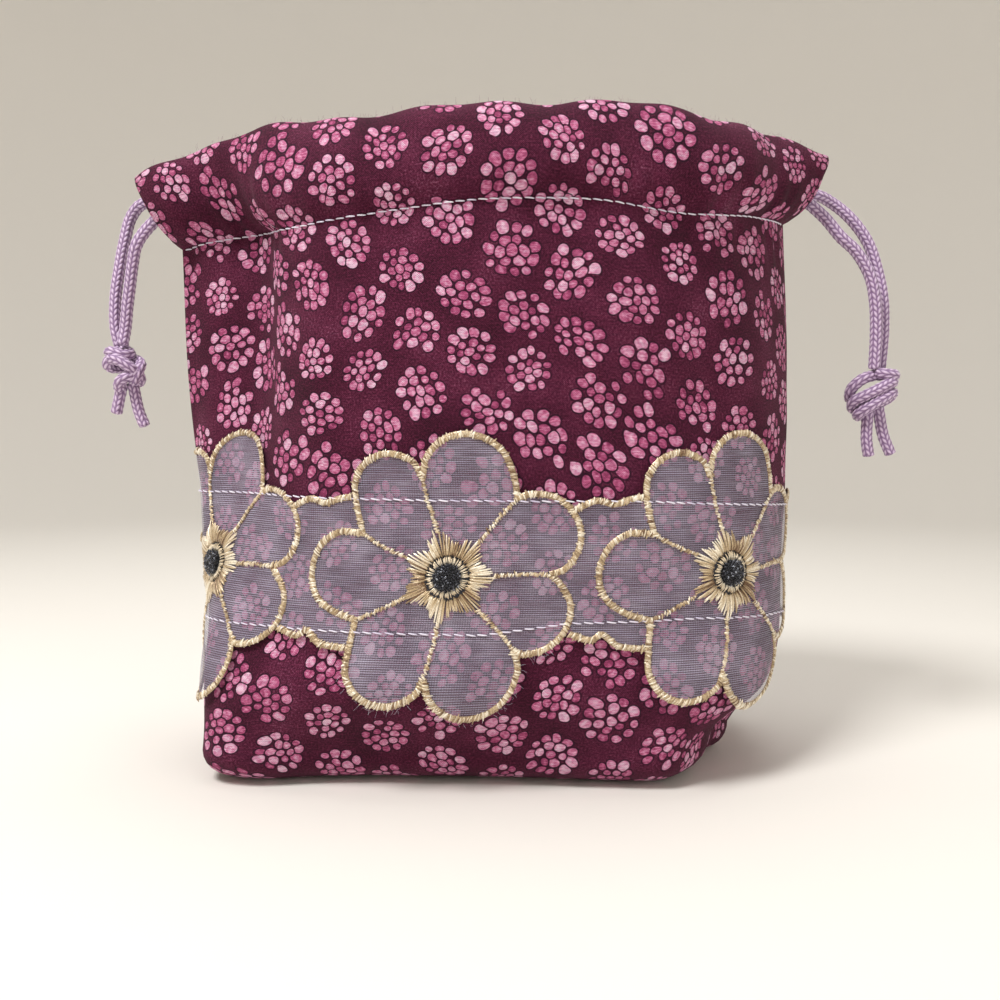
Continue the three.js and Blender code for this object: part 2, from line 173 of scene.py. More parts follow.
class Wire:
    """A socket of a material's nodes that can be used in sums."""

    def __init__(self, tree, socket):
        self.tree = tree
        self.socket = socket

    def node(self, kind, settings=None, sockets=None, output=0):
        """Adds any other node: its settings first, then values or wires for its sockets."""
        made = self.tree.nodes.new(kind)
        for key, value in (settings or {}).items():
            if key == "stops":
                ramp = made.color_ramp
                while len(ramp.elements) < len(value):
                    ramp.elements.new(1.0)
                for element, (place, colour) in zip(ramp.elements, value):
                    element.position = place
                    element.color = (*colour, 1.0)
            else:
                setattr(made, key, value)
        for key, value in (sockets or {}).items():
            if isinstance(value, Wire):
                self.tree.links.new(value.socket, made.inputs[key])
            else:
                made.inputs[key].default_value = value
        return Wire(self.tree, made.outputs[output])

    def math(self, operation, *others):
        values = {k: value for k, value in enumerate((self, *others))}
        return self.node("ShaderNodeMath", {"operation": operation}, values)

    def __add__(self, other):
        return self.math("ADD", other)

    def __sub__(self, other):
        return self.math("SUBTRACT", other)

    def __mul__(self, other):
        return self.math("MULTIPLY", other)

    def __truediv__(self, other):
        return self.math("DIVIDE", other)

    def __radd__(self, other):
        return self + other

    def __rmul__(self, other):
        return self * other

    def __rsub__(self, other):
        return self.node("ShaderNodeMath", {"operation": "SUBTRACT"}, {0: other, 1: self})

    def ramp(self, low, high):
        """0 below low and 1 above high, with a soft step between."""
        settings = {"interpolation_type": "SMOOTHSTEP"}
        return self.node("ShaderNodeMapRange", settings, {"Value": self, "From Min": low, "From Max": high})

    def blend(self, colour_a, colour_b):
        """colour_a where this is 0 and colour_b where it is 1."""
        settings = {"data_type": "RGBA", "clamp_factor": True}
        sockets = {0: self, 6: full(colour_a), 7: full(colour_b)}
        return self.node("ShaderNodeMix", settings, sockets, 2)

    def tint(self, colour, kind="MULTIPLY", share=1.0):
        settings = {"data_type": "RGBA", "blend_type": kind}
        return self.node("ShaderNodeMix", settings, {0: share, 6: self, 7: full(colour)}, 2)

    def vector(self, operation, other, output=0):
        return self.node("ShaderNodeVectorMath", {"operation": operation}, {0: self, 1: other}, output)

    def part(self, axis):
        """One of a vector's three numbers."""
        return self.node("ShaderNodeSeparateXYZ", {}, {0: self}, axis)

    def colours(self, *stops):
        """A colour that runs through the given stops as this rises from 0 to 1."""
        return self.node("ShaderNodeValToRGB", {"stops": stops}, {0: self}, "Color")

    def flat_noise(self, scale, detail, output=0):
        """Soft noise over a flat place, in lumps of about 1 / scale."""
        sockets = {"Vector": self, "Scale": scale, "Detail": detail}
        return self.node("ShaderNodeTexNoise", {"noise_dimensions": "2D"}, sockets, output)


def full(colour):
    return colour if isinstance(colour, Wire) else (*colour, 1.0)


def seen(red, green, blue):
    """A colour as the eye reads it, 0 to 255, as the linear one that a shader takes."""
    return tuple(((c / 255 + 0.055) / 1.055) ** 2.4 if c > 10 else c / 3295 for c in (red, green, blue))


def finish_shader(name, fixed):
    """A new material whose shader has these fixed values: its principled node and a first wire."""
    material = bpy.data.materials.new(name)
    material.use_nodes = True
    shader = material.node_tree.nodes["Principled BSDF"]
    for key, value in fixed.items():
        shader.inputs[key].default_value = value
    return material, shader, Wire(material.node_tree, None)


def feed(shader, wires):
    for key, wire in wires.items():
        wire.tree.links.new(wire.socket, shader.inputs[key])


def bump(height, distance, strength):
    """The normal that a height gives, where 1 stands for a distance in millimetres."""
    sockets = {"Height": height, "Distance": distance * MM, "Strength": strength}
    return height.node("ShaderNodeBump", {}, sockets)


def braid_finish():
    """Shiny lilac acrylic with fine filaments: a painted highlight makes the top of each stitch pale, and
    painted shade makes the hollows between them mauve.
    """
    fixed = {"Sheen Weight": 0.35, "Sheen Roughness": 0.4, "Specular IOR Level": 0.6}
    material, shader, start = finish_shader("lilac_braid", fixed)
    relief = start.node("ShaderNodeAttribute", {"attribute_name": "relief"}, output="Fac")
    uv = start.node("ShaderNodeTexCoord", output="UV")
    filament = uv.vector("MULTIPLY", (9, 3, 1)).flat_noise(1.0, 2.0)
    # painted shade and painted highlight: the colour is mauve in the hollows between stitches and pale on
    # their tops, with paler painted streaks along the tops
    tone = relief.ramp(0.25, 1.0)
    colour = tone.blend(seen(134, 104, 142), seen(212, 188, 216))
    crown_highlight = (relief.ramp(0.82, 1.0) * filament.ramp(0.45, 0.6) * 0.6).blend(colour, seen(228, 214, 236))
    feed(shader, {"Base Color": crown_highlight, "Roughness": 0.62 - tone * 0.18 + filament * 0.1,
                  "Normal": bump(filament, 0.05, 0.6)})
    return material


lilac_braid = braid_finish()

# Each knot is the pair of strands wound once and a bit round itself, pulled tight,
# with both cut ends coming out below. "wraps" holds the routes of the two strands.
KNOTS = {
    "left_cord_knot": {
        "wraps": [
            [(-89.6, -2.4, 100.3), (-90.6, -3.4, 98.2), (-92.3, -3.4, 96.6), (-92.4, -1.4, 95.6),
             (-90.4, 0.8, 95.6), (-87.2, 0.6, 95.2), (-85.4, -1.8, 94.4), (-86.6, -4.4, 93.4),
             (-89.0, -4.5, 92.0), (-90.0, -2.6, 90.0)],
            [(-89.9, 0.3, 100.3), (-87.4, -1.6, 99.0), (-88.6, -4.0, 98.4), (-91.4, -3.9, 99.2),
             (-92.2, -1.4, 98.8), (-90.2, 0.8, 98.3), (-87.0, 0.5, 97.6), (-84.9, -1.4, 96.4),
             (-84.8, -3.6, 94.6), (-86.4, -3.6, 91.2)],
            [(-91.6, -4.2, 97.6), (-89.2, -5.2, 97.2), (-86.6, -5.0, 95.6), (-85.0, -3.0, 93.8),
             (-85.4, -0.8, 92.2), (-87.8, 0.4, 92.0)],
        ],
        "tails": [[(-89.2, -2, 92), (-90.3, -2, 87.5), (-91.1, -2, 83.9)],
                  [(-87, -1.5, 92), (-85.6, -1.5, 84.7), (-84.1, -1.5, 80.8)]],
    },
    "right_cord_knot": {
        "wraps": [
            [(99.2, -0.2, 94.2), (97.4, -2.0, 93.6), (94.2, -3.2, 92.6), (92.0, -1.8, 90.2),
             (92.6, 0.6, 87.8), (95.6, 1.6, 87.4), (99.6, 1.2, 89.4), (102.2, -0.8, 91.6),
             (101.4, -3.4, 91.9), (98.2, -4.9, 90.4), (94.6, -4.9, 88.6), (92.4, -3.2, 87.2),
             (92.6, -0.8, 85.6), (95.4, 0.6, 84.6)],
            [(97.2, -3.0, 94.2), (99.8, -3.8, 93.8), (102.3, -2.6, 93.6), (101.8, -0.4, 94.0),
             (98.8, 1.0, 93.6)],
            [(99.4, 1.4, 86.4), (101.9, -0.6, 88.2), (101.6, -3.2, 89.2), (98.4, -4.9, 87.6),
             (95.2, -4.8, 85.6), (93.4, -3.0, 84.0), (94.4, -0.6, 83.6), (97.2, 0.6, 84.6)],
        ],
        "tails": [[(96.4, -1.6, 86), (96.0, -1.8, 78), (96.7, -1.8, 73.3)],
                  [(98.8, -1.4, 86), (100.2, -1.6, 78.8), (102.3, -1.6, 73.8)]],
    },
}

knots = {}
for name, routes in KNOTS.items():
    knot = braided_tube(name + "_tied", routes["wraps"] + routes["tails"], diameter=2.9, around=40, step=0.15)
    knot.data.materials.append(lilac_braid)
    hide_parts(name)
    knots[name] = knot

for name, route in FREE_STRANDS.items():
    strand = braided_tube(name + "_braid", [route])
    strand.data.materials.append(lilac_braid)
    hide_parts(name)
    knot = knots[name.split("_cord")[0] + "_cord_knot"]


# The held stretch of each cord lies hidden in the casings, so it keeps its plain round form.
def hidden_cord_finish():
    material, shader, start = finish_shader("lilac_cord", {"Sheen Weight": 0.3})
    place = start.node("ShaderNodeTexCoord", output="Object")
    twist = place.node("ShaderNodeTexWave", {"bands_direction": "DIAGONAL"}, {"Vector": place, "Scale": 260.0,
                       "Distortion": 1.5, "Detail": 2.0})
    # painted shade: the colour is darker in the grooves of the twist and paler on its ridges
    colour = twist.ramp(0.1, 0.8).blend(seen(120, 96, 138), seen(192, 170, 206))
    feed(shader, {"Base Color": colour, "Roughness": 0.7 - twist * 0.15, "Normal": bump(twist, 0.15, 0.8)})
    return material


lilac_cord = hidden_cord_finish()
for name in ("left_cord_run", "right_cord_run"):
    for slot in bpy.data.objects[name].material_slots:
        slot.link = "OBJECT"
        slot.material = lilac_cord

# ------------------------------------------------------------------ cotton panels
# Plain-weave printed cotton. Each panel is one cut piece: half of the boxed base, the
# wall, and the top folded in and stitched down as the casing that holds the cords.
EDGE_HEIGHT = 7
EDGE_INSET = 10
FLOOR_GAP = 0.12
PANEL_WIDTH = 181
BASE_SEAM = (-56, 55)
CLOTH = 0.45
STATED_DOWN = [0.0, 0.3, 0.64, 0.88, 1.0]
FRONT_OUTLINES = [
    [(-74.3, 0), (-66, -4.5), (-53.5, -8.5), (-44, -24), (-33, -31.5), (-16, -36),
     (5, -37.5), (29, -36), (49, -30), (62, -19), (71, -7), (74.6, 0)],
    [(-73.3, 0), (-66, -5.5), (-54, -10.5), (-44.5, -25), (-33, -33), (-16, -37.5),
     (5, -39), (29, -38), (49, -33), (64, -22), (73.5, -8.5), (76.3, 0)],
    [(-68.5, 0), (-68, -7), (-61, -16), (-50, -25.5), (-36, -33), (-17, -37.5),
     (5, -39), (28, -38.5), (48, -34.5), (63, -25.5), (72.5, -11), (74.6, 0)],
    [(-63, 0), (-65, -12), (-63, -25), (-54, -32.5), (-40, -36.5), (-18, -38),
     (5, -38), (27, -38), (47, -36), (61, -29), (69.5, -14), (71, 0)],
    [(-60, 0), (-61.5, -16), (-60.5, -29.5), (-53, -34), (-38, -34), (-18, -34.5),
     (5, -35.5), (26, -36.5), (44, -36), (56, -31), (61.5, -16), (62, 0)],
]
BACK_DEPTHS = [37, 39, 39, 38, 35.5]
BACK_SHARPNESS = [1.35, 1.25, 0.9, 0.55, 0.36]
STITCH_HEIGHTS = [124.6, 126.8, 125, 126.7, 128.8, 129, 127, 129, 130.7]
TOP_FOLD = [(-83, -5.5, 140.7), (-66.2, -11, 145.9), (-50.4, -18, 148.4), (-33, -27, 148),
            (-17, -32, 148.1), (6.6, -35, 149.1), (34.4, -33, 149.3), (53, -26, 148.3), (67, -15, 147.7),
            (81.9, -5.5, 146.6)]
CASING_SECTION = [(-0.08, -1.9), (0.0, -1.7), (0.03, -3.8), (0.18, -6.4), (0.48, -7.0), (0.76, -5.2),
                  (0.93, -2.7), (1, 0), (0.97, 1.9), (0.84, 3.8), (0.62, 4.9), (0.36, 4.8), (0.16, 3.3),
                  (0.05, 1.4)]
CASING_HEIGHT = 19
EAR_REACH = 0.08
EAR_BELLY = (-0.2, 0.2)
EAR_INSET = 7
CORNER_IN = (5.5, 3.5)
CORNER_UP = 3.0
LEFT_CORNER_OUT = 2.5
COLUMNS = 210
WALL_ROWS = 120


def soft_step(x, low, high):
    t = np.clip((x - low) / (high - low), 0, 1)
    return t * t * (3 - 2 * t)


def along_line(points, shares):
    """Places and level outward directions at shares of a line's length."""
    line = route_through(points, 0.25)
    places = np.asarray(shares) * (len(line) - 1)
    steps = np.arange(len(line))
    slope = np.gradient(line, axis=0)
    at = np.stack([np.interp(places, steps, line[:, k]) for k in range(line.shape[1])], axis=1)
    run = np.stack([np.interp(places, steps, slope[:, k]) for k in range(2)], axis=1)
    out = np.stack([run[:, 1], -run[:, 0]], axis=1)
    return at, out / np.linalg.norm(out, axis=1)[:, None]


def smooth_between(values, places, at):
    """Reads rows of values at other places, without kinks where they were stated."""
    values = np.asarray(values, float)
    places = np.asarray(places, float)
    slopes = np.gradient(values, places, axis=0)
    k = np.clip(np.searchsorted(places, at) - 1, 0, len(places) - 2)
    h = places[k + 1] - places[k]
    t = (at - places[k]) / h
    wide = (...,) + (None,) * (values.ndim - 1)
    t, h = t[wide], h[wide]
    return ((2 * t**3 - 3 * t**2 + 1) * values[k] + (t**3 - 2 * t**2 + t) * h * slopes[k]
            + (3 * t**2 - 2 * t**3) * values[k + 1] + (t**3 - t**2) * h * slopes[k + 1])


def back_outline(level):
    """The back wall's plan line, drawn as if it were a front one."""
    left, right = FRONT_OUTLINES[level][0][0], FRONT_OUTLINES[level][-1][0]
    turns = [math.pi * k / 12 for k in range(13)]
    power = BACK_SHARPNESS[level]
    sideways = [math.copysign(abs(math.cos(turn)) ** power, math.cos(turn)) for turn in turns]
    return [(left + (right - left) * (1 - s) / 2, -BACK_DEPTHS[level] * abs(math.sin(turn)) ** power)
            for s, turn in zip(sideways, turns)]


class Panel:
    """The outer face of one panel as smooth functions of place, front or back."""

    def __init__(self, outlines, ripples, tuck):
        self.shares = np.linspace(0, 1, COLUMNS + 1)
        sampled = [along_line(outline, self.shares) for outline in outlines]
        self.outlines = np.array([at for at, _ in sampled])
        self.foot, self.foot_out = sampled[0]
        self.fold, self.fold_out = along_line(TOP_FOLD, self.shares)
        even = np.linspace(0, 1, len(STITCH_HEIGHTS))
        self.stitch = smooth_between(STITCH_HEIGHTS, even, self.shares)
        self.ripples = ripples
        self.tuck = tuck

    def wall(self, downs):
        """Wall points for every column and each of the given shares of the way down."""
        plan = smooth_between(self.outlines, STATED_DOWN, np.asarray(downs))
        height = self.stitch + (EDGE_HEIGHT - self.stitch) * np.asarray(downs)[:, None]
        grid = np.concatenate([plan, height[..., None]], axis=2)
        out = np.gradient(grid[..., :2], axis=1)
        out = np.stack([out[..., 1], -out[..., 0]], axis=2)
        out /= np.linalg.norm(out, axis=2)[..., None]
        s = self.shares * PANEL_WIDTH
        lift = self.ripples(s, height)
        grid[..., :2] += out * lift[..., None]
        return self.tucked(grid)

    def tucked(self, grid):
        """The foot leans in where the cloth is slack, and one front corner is up off the table."""
        low = soft_step(-grid[..., 2], -25, -3)
        corner = soft_step(grid[..., 0], 40, 60) * soft_step(-grid[..., 1], 3, 22)
        corner = corner * soft_step(-grid[..., 2], -22, -5)
        grid[..., 1] += self.tuck(grid[..., 0]) * low + CORNER_IN[1] * corner
        grid[..., 0] -= CORNER_IN[0] * corner
        left_corner = soft_step(-grid[..., 0], 44, 60) * soft_step(-grid[..., 1], 3, 22) * low
        grid[..., 0] -= LEFT_CORNER_OUT * left_corner
        grid[..., 2] += CORNER_UP * corner
        return grid

    def casing(self):
        """Casing points: rows run from the hem inside, over the fold, to the stitching."""
        section = route_through([(rise * CASING_HEIGHT, out) for rise, out in CASING_SECTION], 0.62)
        rise = section[:, :1] / CASING_HEIGHT
        out = section[:, 1:]
        foot = np.concatenate([self.foot, self.stitch[:, None]], axis=1)
        turn = np.clip(rise * 1.6, 0, 1)[..., None]
        direction = self.foot_out * (1 - turn) + self.fold_out * turn
        direction /= np.linalg.norm(direction, axis=2)[..., None]
        s = self.shares * PANEL_WIDTH
        pucker = casing_pucker(s, rise, out)
        fullness = out * (1 + 0.10 * np.sin(s / 9.7 + 1.1) * np.sin(s / 4.1)) + pucker
        grid = foot + (self.fold - foot) * rise[..., None]
        grid[..., :2] += direction * fullness[..., None]
        near_end = 1 - soft_step(np.minimum(self.shares, 1 - self.shares), 0, EAR_REACH)
        belly = np.interp(self.shares, (0, 1), EAR_BELLY) * np.sin(math.pi * rise.clip(0, 1))
        inset = EAR_INSET * (-out / 4).clip(0, 1)
        grid[..., 0] += np.where(self.shares < 0.5, -1, 1) * near_end * (belly - inset)
        lip = 0.5 * np.sin(s / 6.3 + 0.7) + 0.35 * np.sin(s / 2.9)
        grid[..., 2] += lip * soft_step(rise, 0.6, 1.0)
        return grid


chance = np.random.default_rng(12)
PUCKER_WAVES = [(length, chance.uniform(0, 6.3), chance.uniform(0.5, 1))
                for length in (5.1, 6.7, 8.9, 12.3, 17)]


def puckers(s):
    """Uneven gathers along a line of stitching, about -1 to 1."""
    total = sum(size * np.sin(2 * math.pi * s / length + phase) for length, phase, size in PUCKER_WAVES)
    return total / 2.4


def casing_pucker(s, rise, out):
    """The casing is dimpled where the stitching pulls on it, less so towards the fold."""
    outer_face = soft_step(out, -1, 1)
    near_stitch = np.exp(-np.abs(rise - 0.1) * CASING_HEIGHT / 5.5)
    soft = 0.35 * np.sin(s / 5.2 + 2 * rise * np.sin(s / 31)) + 0.3 * np.sin(s / 8.3 + 3 * rise + 1.3)
    return outer_face * (0.75 * near_stitch * puckers(s + 3) + soft * (1 - near_stitch))


# Soft folds in the front wall: place along the cloth, height, half-widths and lift.
FRONT_FOLDS = [(72, 23, 34, 9, 2.6), (51, 96, 6, 34, 0.9), (70, 102, 9, 22, -0.7), (88, 108, 8, 20, 0.8),
               (104, 106, 6, 18, -0.7), (118, 110, 7, 18, 0.7), (133, 84, 15, 9, -1.6),
               (150, 104, 8, 24, 0.7), (112, 80, 14, 8, -0.9),
               (30, 100, 7, 30, -0.8), (14, 92, 8, 40, 0.7), (138, 98, 6, 16, -0.6), (92, 80, 18, 9, 0.7),
               (60, 24, 14, 9, -0.8), (122, 22, 12, 8, 0.8), (98, 24, 10, 8, -0.7)]
BACK_FOLDS = [(30, 96, 9, 30, 0.9), (52, 90, 8, 34, -0.9), (80, 104, 11, 24, 0.8), (104, 98, 8, 30, -0.8),
              (128, 92, 10, 34, 0.9), (150, 80, 10, 30, -0.8), (90, 52, 30, 16, 0.9)]


def folded(folds, seed):
    """How far a wall's cloth stands out at a place, from its folds and stitching puckers."""
    shift = seed * 11.0

    def lift(s, height):
        s = np.broadcast_to(s, height.shape)
        total = np.zeros_like(height)
        for place, level, wide, tall, rise in folds:
            total += rise * np.exp(-((s - place) / wide) ** 2 - ((height - level) / tall) ** 2)
        below_casing = np.exp(-(127 - height).clip(0, 200) / 7) * soft_step(127 - height, 0, 1.5)
        total += 0.55 * puckers(s + shift) * below_casing
        total += 0.12 * np.sin(s / 3.4 + height / 9) * np.sin(height / 5.3 + s / 21)
        beside_seam = soft_step(np.minimum(s, PANEL_WIDTH - s), 0, 7)
        return total * beside_seam

    return lift


def front_tuck(x):
    return 2.2 * soft_step(x, -62, -30) * (1 - soft_step(x, 10, 50)) + 0.8 * soft_step(x, 20, 46)


def back_tuck(x):
    return 3 * soft_step(x, -50, -20) * (1 - soft_step(x, 20, 50))


front = Panel(FRONT_OUTLINES, folded(FRONT_FOLDS, 0), front_tuck)
back = Panel([back_outline(level) for level in range(5)], folded(BACK_FOLDS, 1), back_tuck)


def sew_panel(name, panel, node, mirrored, print_shift):
    """Builds a panel's whole grid, hem to base seam, and gives the cloth its thickness."""
    top = panel.casing()
    downs = np.linspace(0, 1, WALL_ROWS) ** 1.15
    wall = panel.wall(downs)
    edge = wall[-1].copy()
    seam = np.zeros_like(edge)
    seam[:, 0] = np.interp(panel.shares, (0, 1), BASE_SEAM)
    reach = np.linalg.norm((seam - edge)[:, :2], axis=1)[:, None]
    inset = EDGE_INSET / np.maximum(reach, 2 * EDGE_INSET)
    rows = []
    for turn in np.radians([12, 24, 36, 48, 60, 72, 82, 90]):
        row = edge + (seam - edge) * inset * (1 - math.cos(turn))
        row[:, 2] = edge[:, 2] - (edge[:, 2] - FLOOR_GAP) * math.sin(turn)
        rows.append(row)
    for share in np.linspace(0, 1, 25)[1:]:
        row = edge + (seam - edge) * (inset + (1 - inset) * share)
        row[:, 2] = FLOOR_GAP
        rows.append(row)
    grid = np.concatenate([top, wall, np.array(rows)])
    grid[..., 1] = np.minimum(grid[..., 1], -0.06)
    middle = COLUMNS // 2
    run = np.linalg.norm(np.diff(grid[:, middle], axis=0), axis=1)
    v = -np.concatenate([[0], np.cumsum(run)])
    v -= v[len(top) // 2]
    u = panel.shares * PANEL_WIDTH
    uv = np.stack(np.meshgrid(u + print_shift, v), axis=2).reshape(-1, 2)
    index = np.arange(grid[..., 0].size).reshape(grid.shape[:2])
    faces = grid_faces(index)[..., [0, 3, 2, 1]].reshape(-1, 4)
    if mirrored:
        grid[..., 1] *= -1
        faces = faces[:, ::-1]
    piece = new_piece(name, grid.reshape(-1, 3), faces.tolist(), uv, "cotton")
    piece.data.materials.append(printed_cotton)
    piece.data.materials.append(cotton_reverse)
    solid = piece.modifiers.new("thickness", "SOLIDIFY")
    solid.thickness = CLOTH * MM
    solid.offset = -1
    solid.material_offset = 1
    bpy.context.view_layer.objects.active = piece
    bpy.ops.object.modifier_apply(modifier="thickness")
    for vertex in piece.data.vertices:
        vertex.co.z = max(vertex.co.z, FLOOR_GAP * MM / 2)
    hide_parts(node)


CLUSTER_PITCH = 13.7
CLUSTER_ROW = 12.3
CLUSTER_STRAY = 1.25
PRINT_TURN = math.radians(24)
# Each ring of berries round a cluster's middle: its radius, how many, their own radius
# and how much that varies. A berry that would cross into the next cluster is left out.
BERRY_RINGS = [(4.8, 11, 1.24, 0.26), (2.42, 6, 1.17, 0.18), (0.1, 1, 1.13, 0.1)]
BERRY_SWAY = 0.26  # how far a berry may stray along its ring, as a share of its place
WARP_PITCH = 0.44
WEFT_PITCH = 0.46


def cotton_print(name, fading):
    """Plum cotton printed with round clusters of berries, each berry ringed in dark ink."""
    fixed = {"Sheen Weight": 0.03, "Sheen Roughness": 0.5, "Specular IOR Level": 0.14}
    material, shader, start = finish_shader(name, fixed)
    uv = start.node("ShaderNodeTexCoord", output="UV")

    def speckle(size, detail=1.0, vector=uv, output=0):
        return vector.flat_noise(1 / size, detail, output)

    def luck(x, y, z):
        spot = uv.node("ShaderNodeCombineXYZ", {}, {0: x, 1: y, 2: z})
        drawn = uv.node("ShaderNodeTexWhiteNoise", {"noise_dimensions": "3D"}, {"Vector": spot}, "Color")
        return [uv.node("ShaderNodeSeparateColor", {}, {0: drawn}, channel) for channel in range(3)]

    # the cloth is not printed dead true: the rows wander and the berries are a little oval
    wander = speckle(34, 1.0, uv, 1).vector("SUBTRACT", (0.5, 0.5, 0.5)).vector("MULTIPLY", (6, 6, 0))
    oval = speckle(4.4, 0.0, uv, 1).vector("SUBTRACT", (0.5, 0.5, 0.5)).vector("MULTIPLY", (0.9, 0.9, 0))
    place = uv.vector("ADD", wander).vector("ADD", oval)
    turned = {"Vector": place, "Angle": PRINT_TURN}
    place = place.node("ShaderNodeVectorRotate", {"rotation_type": "Z_AXIS"}, turned)
    x, y = place.part(0), place.part(1)
    row = (y / CLUSTER_ROW).math("FLOOR")
    stagger = row.math("FLOORED_MODULO", 2.0) * (CLUSTER_PITCH / 2)
    column = ((x + stagger) / CLUSTER_PITCH).math("FLOOR")
    stray_x, stray_y, size = luck(column, row, 3.0)
    stray_width = (stray_x - 0.5) * (2 * CLUSTER_STRAY)
    stray_height = (stray_y - 0.5) * (2 * CLUSTER_STRAY)
    x = x + stagger - (column + 0.5) * CLUSTER_PITCH - stray_width
    y = y - (row + 0.5) * CLUSTER_ROW - stray_height
    scale = 1.2 - size * 0.26
    reach = (x * x + y * y).math("SQRT") * scale
    bearing = y.math("ARCTAN2", x) / (2 * math.pi) + 0.5 + stray_x * 5.0

    berry = ink = tone = None
    for number, (ring, count, radius, uneven) in enumerate(BERRY_RINGS):
        turn = bearing.math("FRACT") * count
        berry_number = turn.math("FLOOR")
        draw = (column + berry_number * 0.137, row + number * 0.291, berry_number + 11.0 * number)
        one, two, three = luck(*draw)
        off = (turn - berry_number - 0.5 - (one - 0.5) * BERRY_SWAY) * (2 * math.pi / count)
        far = ring + (two - 0.5) * 0.7
        square = reach * reach + far * far - 2.0 * reach * far * off.math("COSINE")
        gap = square.math("MAXIMUM", 0.0).math("SQRT")
        own = radius + (three - 0.5) * (2 * uneven)
        heading = (berry_number + 0.5 + (one - 0.5) * BERRY_SWAY) / count - 0.5 - stray_x * 5.0
        heading = heading * (2 * math.pi)
        beside = (far * heading.math("COSINE") / scale + stray_width).math("ABSOLUTE")
        above = (far * heading.math("SINE") / scale + stray_height).math("ABSOLUTE")
        room = (CLUSTER_PITCH / 2 - beside).math("MINIMUM", CLUSTER_ROW / 2 - above) - own / scale
        own = own - (1 - room.ramp(-0.3, -0.28)) * 3.0
        edge = (0.5 - (turn - berry_number - 0.5).math("ABSOLUTE")) * reach * (2 * math.pi / count)
        within = (own - gap).math("SMOOTH_MIN", edge - 0.06, 0.35) if count > 1 else own - gap
        cover = within.ramp(0.0, 0.16)
        rim = within.ramp(-0.42, -0.1)
        glow = (two - 0.5) * 0.5 + (three - 0.5) * 0.3 + 0.38 + within * 0.2
        berry = cover if berry is None else berry * (1 - rim) + cover
        ink = rim if ink is None else ink.math("MAXIMUM", rim)
        tone = glow if tone is None else tone + (glow - tone) * rim

    blotch = speckle(1.0, 2.0)
    sheen = speckle(0.5, 1.0, uv.vector("MULTIPLY", (0.55, 1.6, 1)))
    tone = tone + 0.02 + (blotch - 0.5) * 0.8 + (sheen - 0.5) * 0.9 - (size - 0.5) * 0.12
    rose = tone.math("MINIMUM", 0.98).colours(
        (0.05, seen(148, 60, 98)), (0.32, seen(192, 92, 134)), (0.56, seen(219, 136, 171)),
        (0.8, seen(234, 174, 202)), (1.0, seen(244, 208, 226)))
    ground_tone = speckle(0.42, 1.0) * 0.4 + speckle(14, 2.0) * 0.3 + 0.14
    ground = ground_tone.colours(
        (0.32, seen(50, 10, 28)), (0.48, seen(82, 24, 50)), (0.6, seen(110, 44, 72)),
        (0.74, seen(156, 98, 124)))
    inked = (ink * 0.82).blend(ground, seen(36, 14, 32))
    printed = (berry * 0.97).blend(inked, rose)
    printed = printed.tint(seen(150, 112, 134), "MIX", fading)

    warp = uv.part(0) * (2 * math.pi / WARP_PITCH)
    weft = uv.part(1) * (2 * math.pi / WEFT_PITCH)
    weave = warp.math("SINE") * weft.math("SINE")
    slub = speckle(0.9, 2.0, uv.vector("MULTIPLY", (0.35, 2.2, 1)))
    shade = 0.5 + weave * 0.42 + (slub - 0.5) * 1.1
    woven = shade.ramp(0.0, 1.05).blend(printed.tint((0.52, 0.5, 0.56)), printed)
    height = weave * 0.5 + slub * 0.6
    feed(shader, {"Base Color": woven, "Roughness": 0.86 + (slub - 0.5) * 0.1,
                  "Normal": bump(height, 0.1, 0.8)})
    return material


printed_cotton = cotton_print("printed_cotton", 0.0)
cotton_reverse = cotton_print("cotton_reverse", 0.5)
sew_panel("front_panel_cloth", front, "front_panel", False, 0.0)
sew_panel("back_panel_cloth", back, "back_panel", True, 400.0)

# ------------------------------------------------------------------ flower trim
# A strip of grey-lavender organza, laid across the front and sewn on with two lines
# of stitching. Its outline follows the embroidered petals, and its ends are caught in
# the side seams, which cut through the outer flowers.
FLOWER_SPACING = 63
FLOWER_HEIGHT = 48.5
MIDDLE_FLOWER = 79.3
FLOWERS = {
    "left": MIDDLE_FLOWER - FLOWER_SPACING,
    "middle": MIDDLE_FLOWER,
    "right": MIDDLE_FLOWER + FLOWER_SPACING,
}
# Each petal: direction, reach of its tip and half its width. Each notch lies between
# a petal and the next one anticlockwise: its direction and distance.
PETALS = [(25, 30.2, 9.2), (78, 31.2, 9.8), (124, 30.2, 8.4), (178, 30.6, 9.0), (241, 29.6, 9.4),
          (290, 31.0, 9.6), (337, 28.4, 9.0)]
NOTCHES = [(49, 22.6), (104, 21.9), (154, 21.0), (207, 21.2), (264, 21.8), (315, 22.0), (2, 22.0)]
BAND_TOP = [(27, 14.6), (31.9, 16.5), (35.5, 15.7), (39, 16.7), (41.6, 17.1)]
BAND_BOTTOM = [(27, -12.2), (31.9, -13.5), (33.7, -12.3), (37.2, -14.8), (40.5, -15.4), (43.5, -15.6)]
BAND_ENDS = (16, 47)
UPPER_SEWN = [(0, 65), (40, 65.3), (80, 65), (120, 64.8), (150, 63.2), (181, 61.6)]
LOWER_SEWN = [(0, 36), (10, 35.6), (40, 36.4), (66, 36.2), (88, 36), (106, 38.6), (134, 39),
              (160, 37.4), (181, 35.4)]
TRIM_GRID = 0.8
PETAL_CLEARANCE = 0.3  # degrees a petal's points keep from the notches beside it

FRONT_DOWNS = np.linspace(0, 1, 200)
front_wall = front.wall(FRONT_DOWNS)
front_out = np.cross(np.gradient(front_wall, axis=1), -np.gradient(front_wall, axis=0))
front_out /= np.linalg.norm(front_out, axis=2)[..., None]


